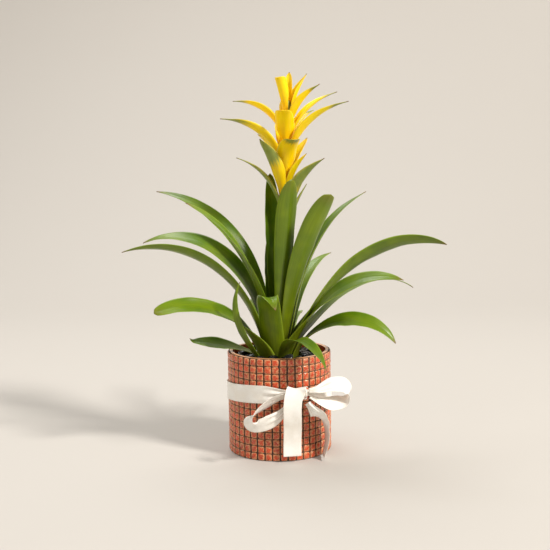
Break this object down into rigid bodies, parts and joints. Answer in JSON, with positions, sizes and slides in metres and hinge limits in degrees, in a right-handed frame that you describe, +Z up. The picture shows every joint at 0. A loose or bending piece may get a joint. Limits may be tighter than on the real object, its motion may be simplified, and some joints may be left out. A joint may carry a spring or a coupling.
{
  "type": "potted bromeliad",
  "caption": "Bromeliad with strap leaves and a yellow bract flower head, in a mosaic cylinder pot with black pebbles and a satin bow.",
  "frame": {"origin": "on the resting surface, under the pot's axis", "axes": "+Z up along the pot's axis; -Y is the front, where the bow is; +X to the right seen from the front"},
  "size_m": [0.4032, 0.2872, 0.4696],
  "materials": {
    "pot_body": "smooth coloured glass wall, opaque behind its tiles",
    "mosaic_tile": "small crackled glass tiles, glossy, in dark grout",
    "potting_soil": "matte crumbly soil",
    "black_pebble": "polished black pebbles",
    "stalk": "fleshy green stalk",
    "leaf": "satin waxy leaf with fine lengthwise veins",
    "green_bract": "satin waxy bract, green tip and yellow base",
    "yellow_bract": "waxy yellow bract",
    "satin_ribbon": "ivory satin ribbon, plain"
  },
  "bodies": {
    "root": {"pot": "pot_body", "mosaic_skin": "mosaic_tile", "soil": "potting_soil", "pebble_bed": "black_pebble", "stem": "stalk", "leaf_01": "leaf", "leaf_02": "leaf", "leaf_03": "leaf", "leaf_04": "leaf", "leaf_05": "leaf", "leaf_06": "leaf", "leaf_07": "leaf", "leaf_08": "leaf", "leaf_09": "leaf", "leaf_10": "leaf", "leaf_11": "leaf", "leaf_12": "leaf", "leaf_13": "leaf", "leaf_14": "leaf", "leaf_15": "leaf", "leaf_16": "leaf", "leaf_17": "leaf", "leaf_18": "leaf", "leaf_19": "leaf", "leaf_20": "leaf", "leaf_21": "leaf", "leaf_22": "leaf", "scape_bract_01": "green_bract", "scape_bract_02": "green_bract", "scape_bract_03": "green_bract", "scape_bract_04": "green_bract", "scape_bract_05": "green_bract", "scape_bract_06": "green_bract", "flower_bract_01": "yellow_bract", "flower_bract_02": "yellow_bract", "flower_bract_03": "yellow_bract", "flower_bract_04": "yellow_bract", "flower_bract_05": "yellow_bract", "flower_bract_06": "yellow_bract", "flower_bract_07": "yellow_bract", "flower_bract_08": "yellow_bract", "flower_bract_09": "yellow_bract", "flower_bract_10": "yellow_bract", "flower_bract_11": "yellow_bract", "flower_bract_12": "yellow_bract", "flower_bract_13": "yellow_bract", "flower_bract_14": "yellow_bract", "flower_bract_15": "yellow_bract", "flower_bract_16": "yellow_bract", "flower_bract_17": "yellow_bract", "ribbon_band": "satin_ribbon", "bow_knot": "satin_ribbon", "bow_loop_left": "satin_ribbon", "bow_loop_right": "satin_ribbon", "ribbon_tail_front": "satin_ribbon", "ribbon_tail_side": "satin_ribbon"}
  },
  "joints": []
}
